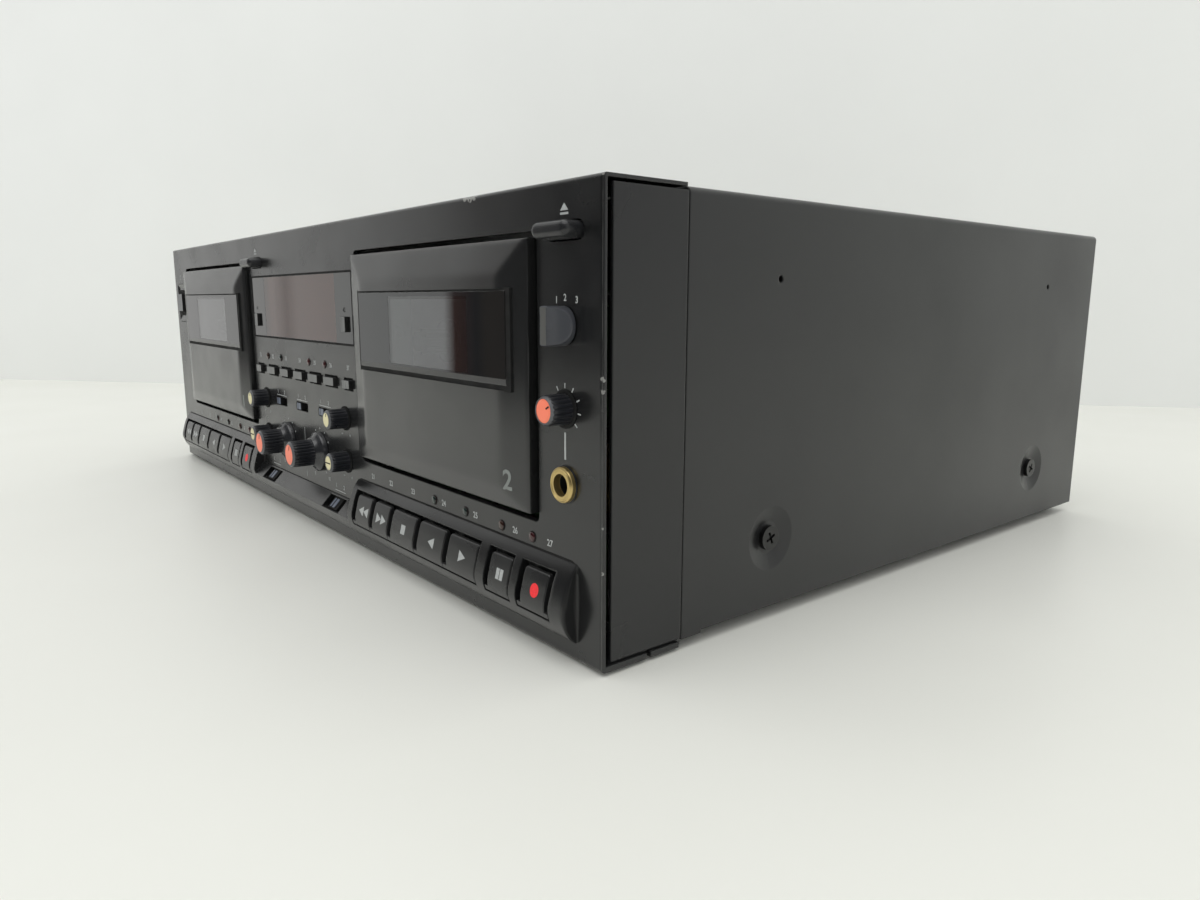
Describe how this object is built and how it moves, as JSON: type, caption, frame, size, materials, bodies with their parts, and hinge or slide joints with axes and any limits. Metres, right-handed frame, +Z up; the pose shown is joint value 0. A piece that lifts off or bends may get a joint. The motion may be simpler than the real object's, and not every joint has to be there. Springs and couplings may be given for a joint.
{
  "type": "cassette duplicator",
  "caption": "Full-width cassette duplicator with hinged cassette doors, transport keys, display, ribbed level knobs, selector and phones socket under a folded steel cover.",
  "frame": {"origin": "middle of the footprint, on the surface that the feet stand on", "axes": "+X to the right seen from the front, +Y from the front panel to the rear, +Z up"},
  "size_m": [0.435, 0.324, 0.1332],
  "materials": {
    "black_moulding": "satin moulded",
    "door_moulding": "satin moulded",
    "smoked_pane": "smoked, polished",
    "clear_pane": "smoked, polished",
    "cover_paint": "satin paint",
    "plated_steel": "zinc plated",
    "mechanism_steel": "zinc plated",
    "foot_rubber": "matt",
    "zinc_screw": "blackened",
    "socket_brass": "machined",
    "socket_plastic": "moulded",
    "lamp_lens": "clear tinted",
    "board_laminate": "lacquered",
    "core_iron": "varnished laminations",
    "key_plastic": "satin moulded",
    "spindle_plastic": "moulded",
    "slide_plastic": "moulded",
    "knob_plastic": "satin moulded",
    "button_plastic": "satin moulded"
  },
  "bodies": {
    "chassis": {"front_bezel": "black_moulding", "display_window": "smoked_pane", "chassis_tray": "plated_steel", "top_cover": "cover_paint", "rear_panel": "plated_steel", "feet": "foot_rubber", "case_screws": "zinc_screw", "phones_socket": "socket_brass", "rear_sockets": "socket_plastic", "indicator_lamps": "lamp_lens", "circuit_boards": "board_laminate", "power_transformer": "core_iron", "tape_mechanisms": "mechanism_steel"},
    "door_1": {"door_1": "door_moulding", "door_window_1": "clear_pane"},
    "door_2": {"door_2": "door_moulding", "door_window_2": "clear_pane"},
    "balance_knob_1": {"balance_knob_1": "knob_plastic"},
    "balance_knob_2": {"balance_knob_2": "knob_plastic"},
    "display_button_1": {"display_button_1": "button_plastic"},
    "display_button_2": {"display_button_2": "button_plastic"},
    "eject_button_1": {"eject_button_1": "button_plastic"},
    "eject_button_2": {"eject_button_2": "button_plastic"},
    "key_forward_1": {"key_forward_1": "key_plastic"},
    "key_forward_2": {"key_forward_2": "key_plastic"},
    "key_pause_1": {"key_pause_1": "key_plastic"},
    "key_pause_2": {"key_pause_2": "key_plastic"},
    "key_play_1": {"key_play_1": "key_plastic"},
    "key_play_2": {"key_play_2": "key_plastic"},
    "key_record_1": {"key_record_1": "key_plastic"},
    "key_record_2": {"key_record_2": "key_plastic"},
    "key_reverse_1": {"key_reverse_1": "key_plastic"},
    "key_reverse_2": {"key_reverse_2": "key_plastic"},
    "key_rewind_1": {"key_rewind_1": "key_plastic"},
    "key_rewind_2": {"key_rewind_2": "key_plastic"},
    "key_stop_1": {"key_stop_1": "key_plastic"},
    "key_stop_2": {"key_stop_2": "key_plastic"},
    "level_knob_1": {"level_knob_1": "knob_plastic"},
    "level_knob_2": {"level_knob_2": "knob_plastic"},
    "monitor_selector": {"monitor_selector": "knob_plastic"},
    "noise_slide_1": {"noise_slide_1": "slide_plastic"},
    "noise_slide_2": {"noise_slide_2": "slide_plastic"},
    "option_slide_1": {"option_slide_1": "slide_plastic"},
    "option_slide_2": {"option_slide_2": "slide_plastic"},
    "option_slide_3": {"option_slide_3": "slide_plastic"},
    "phones_knob": {"phones_knob": "knob_plastic"},
    "pitch_knob_1": {"pitch_knob_1": "knob_plastic"},
    "pitch_knob_2": {"pitch_knob_2": "knob_plastic"},
    "power_button": {"power_button": "button_plastic"},
    "row_button_1": {"row_button_1": "button_plastic"},
    "row_button_2": {"row_button_2": "button_plastic"},
    "row_button_3": {"row_button_3": "button_plastic"},
    "row_button_4": {"row_button_4": "button_plastic"},
    "row_button_5": {"row_button_5": "button_plastic"},
    "row_button_6": {"row_button_6": "button_plastic"},
    "row_button_7": {"row_button_7": "button_plastic"},
    "spindle_left_1": {"spindle_left_1": "spindle_plastic"},
    "spindle_left_2": {"spindle_left_2": "spindle_plastic"},
    "spindle_right_1": {"spindle_right_1": "spindle_plastic"},
    "spindle_right_2": {"spindle_right_2": "spindle_plastic"}
  },
  "joints": [
    {"name": "door_1_turn", "type": "hinge", "parent": "chassis", "child": "door_1", "pos_m": [-0.12675, -0.1445, 0.04315], "axis": [1, 0, 0], "range_deg": [0, 28]},
    {"name": "door_2_turn", "type": "hinge", "parent": "chassis", "child": "door_2", "pos_m": [0.12675, -0.1445, 0.04315], "axis": [1, 0, 0], "range_deg": [0, 28]},
    {"name": "display_button_1_press", "type": "slide", "parent": "chassis", "child": "display_button_1", "axis": [0, 1, 0], "range_m": [0, 0.001], "stiffness_N_per_m": 150},
    {"name": "display_button_2_press", "type": "slide", "parent": "chassis", "child": "display_button_2", "axis": [0, 1, 0], "range_m": [0, 0.001], "stiffness_N_per_m": 150},
    {"name": "eject_button_1_press", "type": "slide", "parent": "chassis", "child": "eject_button_1", "axis": [0, 1, 0], "range_m": [0, 0.003], "stiffness_N_per_m": 150},
    {"name": "eject_button_2_press", "type": "slide", "parent": "chassis", "child": "eject_button_2", "axis": [0, 1, 0], "range_m": [0, 0.003], "stiffness_N_per_m": 150},
    {"name": "key_forward_1_press", "type": "slide", "parent": "chassis", "child": "key_forward_1", "axis": [0, 1, 0], "range_m": [0, 0.0015], "stiffness_N_per_m": 150},
    {"name": "key_forward_2_press", "type": "slide", "parent": "chassis", "child": "key_forward_2", "axis": [0, 1, 0], "range_m": [0, 0.0015], "stiffness_N_per_m": 150},
    {"name": "key_pause_1_press", "type": "slide", "parent": "chassis", "child": "key_pause_1", "axis": [0, 1, 0], "range_m": [0, 0.0015], "stiffness_N_per_m": 150},
    {"name": "key_pause_2_press", "type": "slide", "parent": "chassis", "child": "key_pause_2", "axis": [0, 1, 0], "range_m": [0, 0.0015], "stiffness_N_per_m": 150},
    {"name": "key_play_1_press", "type": "slide", "parent": "chassis", "child": "key_play_1", "axis": [0, 1, 0], "range_m": [0, 0.0015], "stiffness_N_per_m": 150},
    {"name": "key_play_2_press", "type": "slide", "parent": "chassis", "child": "key_play_2", "axis": [0, 1, 0], "range_m": [0, 0.0015], "stiffness_N_per_m": 150},
    {"name": "key_record_1_press", "type": "slide", "parent": "chassis", "child": "key_record_1", "axis": [0, 1, 0], "range_m": [0, 0.0015], "stiffness_N_per_m": 150},
    {"name": "key_record_2_press", "type": "slide", "parent": "chassis", "child": "key_record_2", "axis": [0, 1, 0], "range_m": [0, 0.0015], "stiffness_N_per_m": 150},
    {"name": "key_reverse_1_press", "type": "slide", "parent": "chassis", "child": "key_reverse_1", "axis": [0, 1, 0], "range_m": [0, 0.0015], "stiffness_N_per_m": 150},
    {"name": "key_reverse_2_press", "type": "slide", "parent": "chassis", "child": "key_reverse_2", "axis": [0, 1, 0], "range_m": [0, 0.0015], "stiffness_N_per_m": 150},
    {"name": "key_rewind_1_press", "type": "slide", "parent": "chassis", "child": "key_rewind_1", "axis": [0, 1, 0], "range_m": [0, 0.0015], "stiffness_N_per_m": 150},
    {"name": "key_rewind_2_press", "type": "slide", "parent": "chassis", "child": "key_rewind_2", "axis": [0, 1, 0], "range_m": [0, 0.0015], "stiffness_N_per_m": 150},
    {"name": "key_stop_1_press", "type": "slide", "parent": "chassis", "child": "key_stop_1", "axis": [0, 1, 0], "range_m": [0, 0.0015], "stiffness_N_per_m": 150},
    {"name": "key_stop_2_press", "type": "slide", "parent": "chassis", "child": "key_stop_2", "axis": [0, 1, 0], "range_m": [0, 0.0015], "stiffness_N_per_m": 150},
    {"name": "noise_slide_1_travel", "type": "slide", "parent": "chassis", "child": "noise_slide_1", "axis": [1, 0, 0], "range_m": [-0.0039, 0.0039]},
    {"name": "noise_slide_2_travel", "type": "slide", "parent": "chassis", "child": "noise_slide_2", "axis": [1, 0, 0], "range_m": [-0.0039, 0.0039]},
    {"name": "option_slide_1_travel", "type": "slide", "parent": "chassis", "child": "option_slide_1", "axis": [1, 0, 0], "range_m": [0, 0.0073]},
    {"name": "option_slide_2_travel", "type": "slide", "parent": "chassis", "child": "option_slide_2", "axis": [1, 0, 0], "range_m": [0, 0.0073]},
    {"name": "option_slide_3_travel", "type": "slide", "parent": "chassis", "child": "option_slide_3", "axis": [1, 0, 0], "range_m": [0, 0.0073]},
    {"name": "power_button_press", "type": "slide", "parent": "chassis", "child": "power_button", "axis": [0, 1, 0], "range_m": [0, 0.003], "stiffness_N_per_m": 150},
    {"name": "row_button_1_press", "type": "slide", "parent": "chassis", "child": "row_button_1", "axis": [0, 1, 0], "range_m": [0, 0.001], "stiffness_N_per_m": 150},
    {"name": "row_button_2_press", "type": "slide", "parent": "chassis", "child": "row_button_2", "axis": [0, 1, 0], "range_m": [0, 0.001], "stiffness_N_per_m": 150},
    {"name": "row_button_3_press", "type": "slide", "parent": "chassis", "child": "row_button_3", "axis": [0, 1, 0], "range_m": [0, 0.001], "stiffness_N_per_m": 150},
    {"name": "row_button_4_press", "type": "slide", "parent": "chassis", "child": "row_button_4", "axis": [0, 1, 0], "range_m": [0, 0.001], "stiffness_N_per_m": 150},
    {"name": "row_button_5_press", "type": "slide", "parent": "chassis", "child": "row_button_5", "axis": [0, 1, 0], "range_m": [0, 0.001], "stiffness_N_per_m": 150},
    {"name": "row_button_6_press", "type": "slide", "parent": "chassis", "child": "row_button_6", "axis": [0, 1, 0], "range_m": [0, 0.001], "stiffness_N_per_m": 150},
    {"name": "row_button_7_press", "type": "slide", "parent": "chassis", "child": "row_button_7", "axis": [0, 1, 0], "range_m": [0, 0.001], "stiffness_N_per_m": 150},
    {"name": "pitch_knob_1_turn", "type": "hinge", "parent": "chassis", "child": "pitch_knob_1", "pos_m": [-0.0493, -0.1515, 0.0536], "axis": [0, 1, 0], "range_deg": [-150, 150]},
    {"name": "balance_knob_1_turn", "type": "hinge", "parent": "chassis", "child": "balance_knob_1", "pos_m": [-0.0493, -0.1515, 0.0356], "axis": [0, 1, 0], "range_deg": [-150, 150]},
    {"name": "level_knob_1_turn", "type": "hinge", "parent": "chassis", "child": "level_knob_1", "pos_m": [-0.02, -0.1545, 0.0356], "axis": [0, 1, 0], "range_deg": [-150, 150]},
    {"name": "spindle_left_1_turn", "type": "hinge", "parent": "chassis", "child": "spindle_left_1", "pos_m": [-0.148, -0.1355, 0.0872], "axis": [0, 1, 0], "continuous": true},
    {"name": "spindle_right_1_turn", "type": "hinge", "parent": "chassis", "child": "spindle_right_1", "pos_m": [-0.1055, -0.1355, 0.0872], "axis": [0, 1, 0], "continuous": true},
    {"name": "pitch_knob_2_turn", "type": "hinge", "parent": "chassis", "child": "pitch_knob_2", "pos_m": [0.0493, -0.1515, 0.0536], "axis": [0, 1, 0], "range_deg": [-150, 150]},
    {"name": "balance_knob_2_turn", "type": "hinge", "parent": "chassis", "child": "balance_knob_2", "pos_m": [0.0493, -0.1515, 0.0356], "axis": [0, 1, 0], "range_deg": [-150, 150]},
    {"name": "level_knob_2_turn", "type": "hinge", "parent": "chassis", "child": "level_knob_2", "pos_m": [0.02, -0.1545, 0.0356], "axis": [0, 1, 0], "range_deg": [-150, 150]},
    {"name": "spindle_left_2_turn", "type": "hinge", "parent": "chassis", "child": "spindle_left_2", "pos_m": [0.1055, -0.1355, 0.0872], "axis": [0, 1, 0], "continuous": true},
    {"name": "spindle_right_2_turn", "type": "hinge", "parent": "chassis", "child": "spindle_right_2", "pos_m": [0.148, -0.1355, 0.0872], "axis": [0, 1, 0], "continuous": true},
    {"name": "phones_knob_turn", "type": "hinge", "parent": "chassis", "child": "phones_knob", "pos_m": [0.2013, -0.1515, 0.0727], "axis": [0, 1, 0], "range_deg": [-150, 150]},
    {"name": "monitor_selector_turn", "type": "hinge", "parent": "chassis", "child": "monitor_selector", "pos_m": [0.2013, -0.1515, 0.0952], "axis": [0, 1, 0], "range_deg": [-30, 30]}
  ]
}
